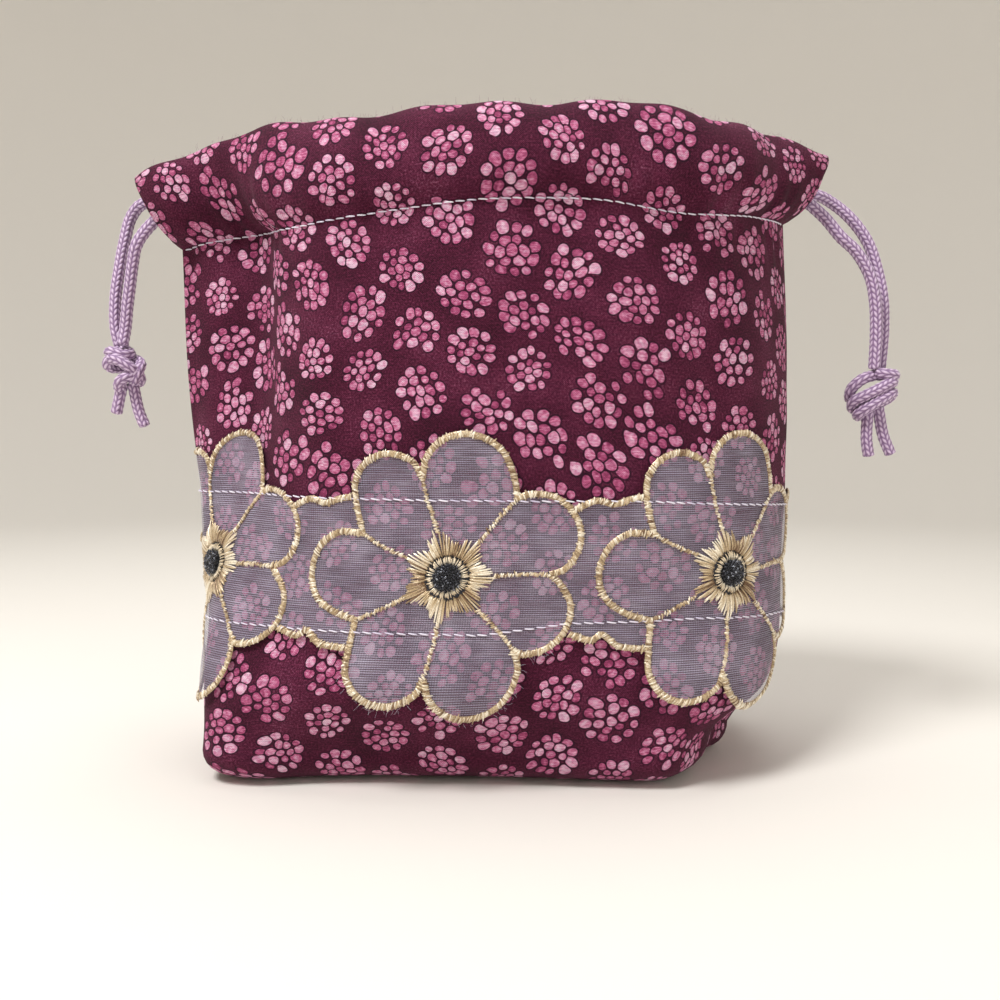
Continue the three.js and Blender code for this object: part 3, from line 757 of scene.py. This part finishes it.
def on_front(s, height, lift):
    """Places a lift above the front cloth, at distances along it and heights."""
    s, height, lift = np.broadcast_arrays(*np.atleast_1d(s, height, lift))
    column = np.clip(s / PANEL_WIDTH, 0, 1) * COLUMNS
    stitch = np.interp(column, np.arange(COLUMNS + 1), front.stitch)
    row = np.clip((stitch - height) / (stitch - EDGE_HEIGHT), 0, 1) * (len(FRONT_DOWNS) - 1)
    c = np.minimum(column.astype(int), COLUMNS - 1)
    r = np.minimum(row.astype(int), len(FRONT_DOWNS) - 2)
    tc, tr = (column - c)[..., None], (row - r)[..., None]

    def read(grid):
        near = grid[r, c] * (1 - tc) + grid[r, c + 1] * tc
        far = grid[r + 1, c] * (1 - tc) + grid[r + 1, c + 1] * tc
        return near * (1 - tr) + far * tr

    out = read(front_out)
    out /= np.linalg.norm(out, axis=-1)[..., None]
    return read(front_wall) + out * lift[..., None], out


def trim_lift(s, height):
    """The organza lies on the cloth where it is sewn and stands off it at the petals' ends."""
    low = np.interp(s, *zip(*LOWER_SEWN))
    high = np.interp(s, *zip(*UPPER_SEWN))
    below = np.maximum(0, low - height)
    above = np.maximum(0, height - high)
    between = np.clip((height - low) * (high - height) / 200, 0, 1)
    wave = 0.25 * np.sin(s / 5.3 + height / 7) + 0.2 * np.sin(s / 3.1 - height / 4.1)
    from_seam = np.minimum(s, PANEL_WIDTH - s)
    loose = 0.08 * below + 0.02 * above + between * (0.35 + wave)
    return 0.3 + 0.45 * soft_step(from_seam, 0, 16) + soft_step(from_seam, 12, 44) * loose


def polar(direction, distance):
    angle = math.radians(direction)
    return (distance * math.cos(angle), distance * math.sin(angle))


def petal_edge(number):
    """A petal's free edge, from the notch before it, round its tip, to the notch after it."""
    direction, reach, half = PETALS[number]
    middle = polar(direction, reach - half)
    before, after = NOTCHES[number - 1], NOTCHES[number]
    points = [polar(*before)]
    for turn in (-72, -40, -13, 13, 40, 72):
        x, z = polar(direction + turn, half)
        x, z = middle[0] + x, middle[1] + z
        seen_from_middle = math.degrees(math.atan2(z, x))
        past_before = (seen_from_middle - before[0] + 180) % 360 - 180
        short_of_after = (after[0] - seen_from_middle + 180) % 360 - 180
        if min(past_before, short_of_after) > PETAL_CLEARANCE:
            points.append((x, z))
    return points + [polar(*after)]


def inside(outline, x, z):
    """True for the points within a closed outline."""
    within = np.zeros(x.shape, bool)
    for (x1, z1), (x2, z2) in zip(outline, np.roll(outline, -1, axis=0)):
        crosses = (z1 > z) != (z2 > z)
        at = x1 + (z - z1) * (x2 - x1) / np.where(z2 == z1, 1e-9, z2 - z1)
        within ^= crosses & (x < at)
    return within


flower_outline = np.vstack([route_through(petal_edge(k), 0.5) for k in range(7)])
band_outline = np.array([(BAND_ENDS[0], 9), *BAND_TOP, (BAND_ENDS[1], 17.4), (BAND_ENDS[1], -15.6),
                         *BAND_BOTTOM[::-1], (BAND_ENDS[0], -9)])


def make_organza():
    """The sheet, cut on a fine grid to the flowers and the band between them, and its area."""
    s = np.arange(0.6, PANEL_WIDTH - 0.5, TRIM_GRID)
    z = np.arange(14, 81, TRIM_GRID)
    across, height = np.meshgrid(s, z)
    points, _ = on_front(across, height, trim_lift(across, height))
    middle_s = across[:-1, :-1] + TRIM_GRID / 2
    middle_z = height[:-1, :-1] + TRIM_GRID / 2 - FLOWER_HEIGHT
    kept = np.zeros(middle_s.shape, bool)
    for turn in (-2, -1, 0, 1, 2):
        along = middle_s - MIDDLE_FLOWER - turn * FLOWER_SPACING
        kept |= inside(flower_outline, along, middle_z) | inside(band_outline, along, middle_z)
    index = np.arange(across.size).reshape(across.shape)
    faces = grid_faces(index)[kept]
    used, compact = np.unique(faces, return_inverse=True)
    uv = np.stack([across, height], axis=2).reshape(-1, 2)[used]
    faces_used = compact.reshape(-1, 4).tolist()
    piece = new_piece("flower_trim_organza", points.reshape(-1, 3)[used], faces_used, uv, "organza")
    return piece, len(faces) * (TRIM_GRID * MM) ** 2


ORGANZA_WARP = 0.52
ORGANZA_WEFT = 0.47


def organza_finish():
    """Sheer grey-lavender organza: a fine open weave that lets the print show dimly through."""
    fixed = {"Sheen Weight": 0.5, "Sheen Roughness": 0.35, "Specular IOR Level": 0.5}
    material, shader, start = finish_shader("grey_organza", fixed)
    uv = start.node("ShaderNodeTexCoord", output="UV")
    warp = (uv.part(0) * (2 * math.pi / ORGANZA_WARP)).math("SINE")
    weft = (uv.part(1) * (2 * math.pi / ORGANZA_WEFT)).math("SINE")
    slub = uv.vector("MULTIPLY", (0.12, 2.6, 1)).flat_noise(1.0, 2.0)
    drift = uv.flat_noise(0.12, 1.0)
    thread = weft * 0.5 + warp * 0.16 + (slub - 0.5) * 0.9
    tone = thread * 0.4 + 0.5 + (drift - 0.5) * 0.35
    colour = tone.colours((0.1, seen(86, 80, 98)), (0.5, seen(146, 138, 158)), (0.9, seen(212, 203, 221)))
    cover = 0.46 + thread * 0.22 + (drift - 0.5) * 0.12
    alpha = cover.node("ShaderNodeClamp", {}, {"Value": cover, "Min": 0.35, "Max": 0.95})
    feed(shader, {"Base Color": colour, "Alpha": alpha, "Roughness": 0.55 + slub * 0.15,
                  "Normal": bump(thread, 0.05, 0.5)})
    return material


organza, organza_area = make_organza()
grey_organza = organza_finish()
organza.data.materials.append(grey_organza)
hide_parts("flower_trim")

# ------------------------------------------------------------------ gold embroidery
# Satin stitch in pale gold rayon over a low padding: a bumpy ridge round every petal,
# a narrower one between petals, and a rayed star round each dark centre.
def from_lowest(corners):
    """A face's corners the same way round, starting from the lowest-numbered one."""
    first = corners.index(min(corners))
    return corners[first:] + corners[:first]


bpy.ops.mesh.primitive_uv_sphere_add(segments=6, ring_count=6, radius=0.5, rotation=(0, math.pi / 2, 0))
grain = bpy.context.object
bpy.ops.object.transform_apply(location=False, rotation=True, scale=False)
grain_points = np.array([v.co for v in grain.data.vertices])
grain_radius = np.linalg.norm(grain_points[:, 1:], axis=1)
blunt = 0.5 * (2 * grain_radius) ** 0.4 / np.maximum(grain_radius, 1e-6)
grain_points[:, 1:] *= np.where(grain_radius > 1e-4, blunt, 0)[:, None]
# a new sphere lists its faces in no fixed order, so they are sorted to be the same every time
grain_faces = sorted(from_lowest(list(face.vertices)) for face in grain.data.polygons)
bpy.data.objects.remove(grain)


def lay_stitches(name, slot, finish, starts, ends, outs, width, rise, tones, end_tones=None):
    """One stitch from each start to each end, each a copy of the grain in its own place."""
    starts, ends, outs = map(np.asarray, (starts, ends, outs))
    run = ends - starts
    length = np.linalg.norm(run, axis=1)
    forward = run / length[:, None]
    side = np.cross(outs, forward)
    side /= np.linalg.norm(side, axis=1)[:, None]
    upward = np.cross(forward, side)
    width = np.broadcast_to(width, length.shape)
    rise = np.broadcast_to(rise, length.shape)
    shape = grain_points[None] * np.stack([length, width, width], axis=1)[:, None]
    shape[..., 2] += rise[:, None] * (0.25 - grain_points[:, 0] ** 2) * 4
    middle = (starts + ends) / 2
    points = middle[:, None] + np.einsum("nkj,njd->nkd", shape, np.stack([forward, side, upward], axis=1))
    count = len(grain_points)
    faces = [[v + k * count for v in face] for k in range(len(starts)) for face in grain_faces]
    end_tones = tones if end_tones is None else end_tones
    share = grain_points[None, :, 0] + 0.5
    tone = (np.asarray(tones)[:, None] * (1 - share) + np.asarray(end_tones)[:, None] * share).ravel()
    piece = new_piece(name, points.reshape(-1, 3), faces, None, slot, tone=tone)
    piece.data.materials.append(finish)
    return piece


def thread_finish(name, dark, middle, light, roughness=0.42, metallic=0.0):
    """Twisted shiny thread: its tone differs from stitch to stitch, with fine plies in relief."""
    fixed = {"Specular IOR Level": 0.7, "Sheen Weight": 0.15, "Metallic": metallic}
    material, shader, start = finish_shader(name, fixed)
    place = start.node("ShaderNodeTexCoord", output="Object")
    plies = place.node("ShaderNodeTexNoise", {}, {"Vector": place, "Scale": 4200.0, "Detail": 1.0})
    tone = start.node("ShaderNodeAttribute", {"attribute_name": "tone"}, output="Fac") + (plies - 0.5) * 0.5
    colour = tone.colours((0.0, dark), (0.5, middle), (1.0, light))
    feed(shader, {"Base Color": colour, "Roughness": roughness + (plies - 0.5) * 0.2,
                  "Normal": bump(plies, 0.06, 0.5)})
    return material


gold_thread = thread_finish("gold_thread", seen(112, 80, 50), seen(200, 176, 138), seen(250, 241, 222),
                            0.3, 0.3)
steel_thread = thread_finish("steel_thread", seen(24, 24, 30), seen(70, 72, 82), seen(190, 194, 206),
                             0.25, 0.7)
sewing_thread = thread_finish("sewing_thread", seen(170, 158, 190), seen(214, 206, 226),
                              seen(240, 236, 246))
SEAM_MARGIN = 1.0
STAR_MARGIN = 1.2


def on_trim(centre, x, z, lift):
    s = centre + np.asarray(x)
    height = FLOWER_HEIGHT + np.asarray(z)
    return on_front(s, height, trim_lift(s, height) + lift)


def round_flower(centre, radius, angle, lift):
    return on_trim(centre, radius * np.cos(angle), radius * np.sin(angle), lift)


def sewn_path(centre, line, pitch):
    """Points a pitch apart along a flower's line, without those that lie past the side seams."""
    path = route_through(line, pitch)
    s = centre + path[:, 0]
    return path[(s > SEAM_MARGIN) & (s < PANEL_WIDTH - SEAM_MARGIN)]


def along_and_across(path):
    """The directions along a path and square to it."""
    slope = np.gradient(path, axis=0)
    slope /= np.linalg.norm(slope, axis=1)[:, None]
    return slope, np.stack([-slope[:, 1], slope[:, 0]], axis=1)


def satin_line(centre, line, width, pitch, rng):
    """Starts, ends, outward directions and tones of satin stitches across a line."""
    path = sewn_path(centre, line, pitch)
    count = len(path)
    if count < 4:
        return [np.zeros((0, 3))] * 3 + [np.zeros(0)]
    slope, cross = along_and_across(path)
    turn = rng.normal(0.32, 0.22, count)
    lean = cross * np.cos(turn)[:, None] + slope * np.sin(turn)[:, None]
    half = width / 2 * rng.normal(1.0, 0.2, count)[:, None]
    shift = cross * rng.normal(0, 0.13, count)[:, None]
    first, out = on_trim(centre, *(path + shift - lean * half).T, 0.12)
    second, _ = on_trim(centre, *(path + shift + lean * half).T, 0.12)
    # the tone varies at random from stitch to stitch, spread wide so that some stitches are pale as painted
    # glints and some dark as painted shade
    tones = rng.normal(0.6, 0.3, count).clip(0, 1)
    return [first, second, out, tones]


PADDING_SECTION = [(-1, 0.02), (-0.6, 0.26), (0, 0.38), (0.6, 0.26), (1, 0.02)]
GROUND_SECTION = [(5.6, 0.02), (4.6, 0.14), (3.4, 0.18), (2.0, 0.3), (0.6, 0.5)]
GROUND_SIDES = 48


def padding(name, centre, lines, width):
    """The low rounded padding that the satin stitches cover."""
    points, faces = [], []
    first = 0
    for line in lines:
        path = sewn_path(centre, line, 0.5)
        if len(path) < 3:
            continue
        cross = along_and_across(path)[1]
        rows = [on_trim(centre, *(path + cross * k * width / 2).T, lift)[0] for k, lift in PADDING_SECTION]
        grid = np.stack(rows, axis=1)
        index = first + np.arange(len(path) * len(rows)).reshape(-1, len(rows))
        faces += grid_faces(index).reshape(-1, 4).tolist()
        points.append(grid.reshape(-1, 3))
        first += index.size
    # painted shade: the padding is a darker gold than the stitches, so the gaps between them look shaded
    piece = new_piece(name, np.vstack(points), faces, None, "organza", tone=np.full(first, 0.3))
    piece.data.materials.append(gold_thread)
    return piece


def dark_ground(name, centre):
    """A low dark disc laid on the organza under a flower's centre, its pale ring and the inner ends of its
    rays.
    """
    turns = np.linspace(0, 2 * math.pi, GROUND_SIDES, endpoint=False)
    rows = [round_flower(centre, radius, turns, lift)[0] for radius, lift in GROUND_SECTION]
    middle = on_trim(centre, 0, 0, GROUND_SECTION[-1][1])[0]
    index = np.arange(len(rows) * GROUND_SIDES).reshape(-1, GROUND_SIDES)
    faces = grid_faces(index, closed=True).reshape(-1, 4).tolist()
    faces += [(a, b, index.size) for a, b in zip(index[-1].tolist(), np.roll(index[-1], -1).tolist())]
    points = np.vstack([np.vstack(rows), middle])
    piece = new_piece(name, points, faces, None, "organza", tone=np.full(len(points), 0.12))
    piece.data.materials.append(steel_thread)
    return piece


OUTER_RIDGE = 1.5
INNER_RIDGE = 1.05
OUTER_PITCH = 0.3
INNER_PITCH = 0.32
RAYS = 168
RAY_INNER = 4.7
RAY_SHORTEST = 7.4
RIB_EXTRA = 3.0  # how much further a ray reaches beside a rib, fading over the spread in degrees
RIB_SPREAD = 24
RING_STITCHES = 84
RING_RADII = (2.9, 4.5)
CENTRE_RADIUS = 3.1
CENTRE_LOOPS = 95
LOOP_HALF = 0.36
GOLDEN_ANGLE = math.radians(137.5)
for number, (side, centre) in enumerate(FLOWERS.items()):
    rng = np.random.default_rng(40 + number)
    outer_lines = [petal_edge(k) for k in range(7)]
    ribs = [[polar(direction, 10), polar(direction + 1, (10 + reach) / 2), polar(direction, reach)]
            for direction, reach in NOTCHES]
    band_lines = [BAND_TOP, BAND_BOTTOM]
    if side == "left":
        band_lines += [[(x - FLOWER_SPACING, z) for x, z in line] for line in band_lines]
    stitches = [satin_line(centre, line, OUTER_RIDGE, OUTER_PITCH, rng) for line in outer_lines + band_lines]
    stitches += [satin_line(centre, line, INNER_RIDGE, INNER_PITCH, rng) for line in ribs]
    joined = [np.concatenate(part) for part in zip(*stitches)]
    width = rng.normal(0.34, 0.06, len(joined[3])).clip(0.22, 0.5)
    lay_stitches(f"{side}_flower_outline", "organza", gold_thread, *joined[:3],
                                   width, 0.34, joined[3])
    padding(f"{side}_flower_padding", centre, outer_lines + band_lines, OUTER_RIDGE * 0.9)

    # rays of the star, longer towards the ribs and dark or pale by turns as painted shade, darkest on the
    # left and top, and a pale ring inside them
    directions = np.linspace(0, 360, RAYS, endpoint=False) + rng.normal(0, 0.8, RAYS)
    to_rib = np.array([min(abs((d - n + 180) % 360 - 180) for n, _ in NOTCHES) for d in directions])
    reach = RAY_SHORTEST + RIB_EXTRA * np.clip(1 - to_rib / RIB_SPREAD, 0, 1) + rng.normal(0, 0.35, RAYS)
    start_r = RAY_INNER + rng.normal(0, 0.18, RAYS)
    angle = np.radians(directions)
    fan = np.radians(rng.normal(0, 2.0, RAYS))
    first, out = round_flower(centre, start_r, angle, 0.1)
    last, _ = round_flower(centre, reach, angle + fan, 0.1)
    # painted shade: the rays' tone rises and falls three times round the star, dark on its left and top and
    # pale on its bottom and right
    tone = (0.5 + 0.28 * np.sin(angle * 3 + 0.9) + rng.normal(0, 0.18, RAYS)).clip(0, 1)
    ring = np.radians(np.linspace(0, 360, RING_STITCHES, endpoint=False) + rng.normal(0, 2, RING_STITCHES))
    ring_in = RING_RADII[0] + rng.normal(0, 0.15, RING_STITCHES)
    ring_out = RING_RADII[1] + rng.normal(0, 0.25, RING_STITCHES)
    inner, ring_up = round_flower(centre, ring_in, ring, 0.15)
    outer, _ = round_flower(centre, ring_out, ring, 0.1)
    kept = centre + np.cos(angle) * reach > STAR_MARGIN
    kept_ring = centre + np.cos(ring) * ring_out > STAR_MARGIN
    starts, ends = np.vstack([first[kept], inner[kept_ring]]), np.vstack([last[kept], outer[kept_ring]])
    outs = np.vstack([out[kept], ring_up[kept_ring]])
    thick = np.concatenate([np.full(kept.sum(), 0.4), np.full(kept_ring.sum(), 0.28)])
    tones = np.concatenate([tone[kept] - 0.2, np.full(kept_ring.sum(), 0.95)])
    tips = np.concatenate([tone[kept] + 0.25, np.full(kept_ring.sum(), 0.55)])
    lay_stitches(f"{side}_flower_star", "organza", gold_thread, starts, ends, outs,
                                   thick, 0.42, tones, tips)
    dark_ground(f"{side}_flower_ground", centre)

    # the dark centre: a heap of tight little loops of metallic thread, most of them dark and a few pale as
    # painted glints
    spot = np.sqrt(np.arange(CENTRE_LOOPS) / CENTRE_LOOPS) * CENTRE_RADIUS
    around = np.arange(CENTRE_LOOPS) * GOLDEN_ANGLE
    turn = rng.uniform(0, math.pi, CENTRE_LOOPS)
    dome = 0.3 + 1.5 * np.sqrt(1 - (spot / (CENTRE_RADIUS + 0.2)) ** 2)
    x, z = spot * np.cos(around), spot * np.sin(around)
    dx, dz = LOOP_HALF * np.cos(turn), LOOP_HALF * np.sin(turn)
    first, out = on_trim(centre, x - dx, z - dz, dome)
    last, _ = on_trim(centre, x + dx, z + dz, dome + rng.normal(0, 0.08, CENTRE_LOOPS))
    # painted glints: most loops get a dark tone and a few a pale one
    tones = rng.beta(0.6, 1.7, CENTRE_LOOPS)
    lay_stitches(f"{side}_flower_centre", "organza", steel_thread, first, last, out,
                                   0.42, 0.2, tones)

# ------------------------------------------------------------------ top-stitching
# White-lilac machine thread, about ten stitches to the inch: along the foot of the
# casing all round, and along both long edges of the trim.
STITCH_PITCH = 2.45
STITCH_LENGTH = 2.15


def run_of_stitches(name, place, mirrored=False, seed=1):
    """A row of machine stitches; place gives points and outward directions along the cloth."""
    rng = np.random.default_rng(seed)
    starts_at = np.arange(1.2, PANEL_WIDTH - 1.5 - STITCH_LENGTH, STITCH_PITCH)
    starts_at = starts_at + rng.normal(0, 0.07, len(starts_at))
    first, out = place(starts_at, 0.16)
    last, _ = place(starts_at + STITCH_LENGTH, -0.16)
    if mirrored:
        first, last, out = (part * (1, -1, 1) for part in (first, last, out))
        first, last = last, first
    tones = rng.normal(0.7, 0.15, len(first)).clip(0, 1)
    return lay_stitches(name, "cotton", sewing_thread, first, last, out, 0.36, 0.22, tones)


def along_casing(s, slip):
    stitch = np.interp(s / PANEL_WIDTH, front.shares, front.stitch)
    return on_front(s, stitch - 0.35 + slip * 0.6, 0.1)


def along_trim(line):
    def place(s, slip):
        height = np.interp(s, *zip(*line)) + slip
        return on_front(s, height, trim_lift(s, height) + 0.12)

    return place


def along_back_casing(s, slip):
    row = back.wall([0.004])[0]
    run = np.gradient(row[:, :2], axis=0)
    shares = s / PANEL_WIDTH
    at = np.stack([np.interp(shares, back.shares, row[:, k]) for k in range(3)], axis=1)
    at[:, 2] += slip * 0.6
    out = np.stack([np.interp(shares, back.shares, run[:, 1]), np.interp(shares, back.shares, -run[:, 0]),
                    np.zeros(len(s))], axis=1)
    out /= np.linalg.norm(out, axis=1)[:, None]
    return at + out * 0.1, out


run_of_stitches("casing_stitches_front", along_casing, seed=5)
run_of_stitches("casing_stitches_back", along_back_casing, mirrored=True, seed=8)
run_of_stitches("trim_stitches_upper", along_trim(UPPER_SEWN), seed=6)
run_of_stitches("trim_stitches_lower", along_trim(LOWER_SEWN), seed=7)


# Stray fibres: cotton fluff along the top fold and a few loose ends under the petals.
def fluff(name, places, outs, finish, length, width, seed):
    rng = np.random.default_rng(seed)
    aim = outs + rng.normal(0, 0.75, outs.shape)
    aim /= np.linalg.norm(aim, axis=1)[:, None]
    reach = length * rng.uniform(0.35, 1, len(places))[:, None]
    tones = rng.uniform(0.2, 0.8, len(places))
    start = places - outs * 0.1
    rise = rng.normal(0, 0.3, len(places))
    return lay_stitches(name, "cotton", finish, start, start + aim * reach, outs, width, rise, tones)


FLUFF = 340
cotton_fluff = thread_finish("cotton_fluff", seen(96, 50, 72), seen(150, 100, 126), seen(206, 176, 192), 0.8)
rng = np.random.default_rng(77)
folds = front.casing()
spots = rng.integers(4, COLUMNS - 4, FLUFF)
levels = rng.normal(int(np.argmax(folds[:, COLUMNS // 2, 2])), 2.2, FLUFF).astype(int)
tops = folds[levels, spots]
ups = np.stack([np.zeros(FLUFF), -rng.uniform(0, 0.5, FLUFF), np.ones(FLUFF)], axis=1)
fluff("casing_fluff", tops, ups / np.linalg.norm(ups, axis=1)[:, None], cotton_fluff, 1.8, 0.035, 78)
loose = [petal_edge(number) for number in (5, 6, 4)]
ends = np.vstack([route_through(line, 0.55)[6:-6] for line in loose])
ends = ends[rng.random(len(ends)) < 0.55]
places, outs = on_trim(MIDDLE_FLOWER, *(ends * 1.035).T, 0.05)
outward = places - on_trim(MIDDLE_FLOWER, *(ends * 0.95).T, 0.05)[0]
outward /= np.linalg.norm(outward, axis=1)[:, None]
fluff("trim_loose_ends", places, outward, sewing_thread, 2.2, 0.04, 79)

# ------------------------------------------------------------------ floor and light
# A pale light tent: a level paper floor that curves up all round into walls, open at
# the top, so that nothing but plain pale paper shows from any side.
TENT_RADIUS = 1.3
TENT_HEIGHT = 1.25
TENT_CURVE = 0.6
TABLE_GAP = 0.0002
bpy.ops.object.select_all(action="DESELECT")
bpy.ops.mesh.primitive_cylinder_add(vertices=96, radius=TENT_RADIUS, depth=TENT_HEIGHT,
                                    location=(0, 0, TENT_HEIGHT / 2 - TABLE_GAP))
tent = bpy.context.object
tent.name = "paper_tent"
bpy.ops.object.transform_apply(location=True, rotation=False, scale=False)
bpy.ops.object.mode_set(mode="EDIT")
bpy.ops.mesh.select_all(action="DESELECT")
bpy.ops.object.mode_set(mode="OBJECT")
for face in tent.data.polygons:
    face.select = face.normal.z > 0.5
bpy.ops.object.mode_set(mode="EDIT")
bpy.ops.mesh.delete(type="FACE")
bpy.ops.mesh.select_all(action="SELECT")
bpy.ops.mesh.flip_normals()
bpy.ops.object.mode_set(mode="OBJECT")
curve = tent.modifiers.new("curve", "BEVEL")
curve.width = TENT_CURVE
curve.segments = 20
curve.limit_method = "ANGLE"
bpy.ops.object.modifier_apply(modifier="curve")
bpy.ops.object.shade_smooth()
paper, _, _ = finish_shader("tent_paper", {"Base Color": (0.80, 0.765, 0.71, 1), "Roughness": 0.85})
tent.data.materials.append(paper)

world = bpy.data.worlds.new("studio")
bpy.context.scene.world = world
world.use_nodes = True
world.node_tree.nodes["Background"].inputs["Color"].default_value = (0.95, 0.93, 0.90, 1)
world.node_tree.nodes["Background"].inputs["Strength"].default_value = 0.53


def softbox(name, place, target, size, power):
    bpy.ops.object.light_add(type="AREA", location=place)
    lamp = bpy.context.object
    lamp.name = name
    lamp.data.shape = "DISK"
    lamp.data.size = size
    lamp.data.energy = power
    aim = np.array(target) - np.array(place)
    level = math.hypot(aim[0], aim[1])
    lamp.rotation_euler = (math.atan2(level, -aim[2]), 0, math.atan2(-aim[0], aim[1]))


softbox("key", (-0.32, -0.36, 0.76), (0, 0, 0.07), 0.28, 6.3)
softbox("fill", (0.55, -0.6, 0.35), (0, 0, 0.07), 0.5, 0.8)
softbox("above", (0.05, 0.1, 0.75), (0, 0, 0.1), 0.45, 1.6)
bpy.context.scene.view_settings.view_transform = "Standard"
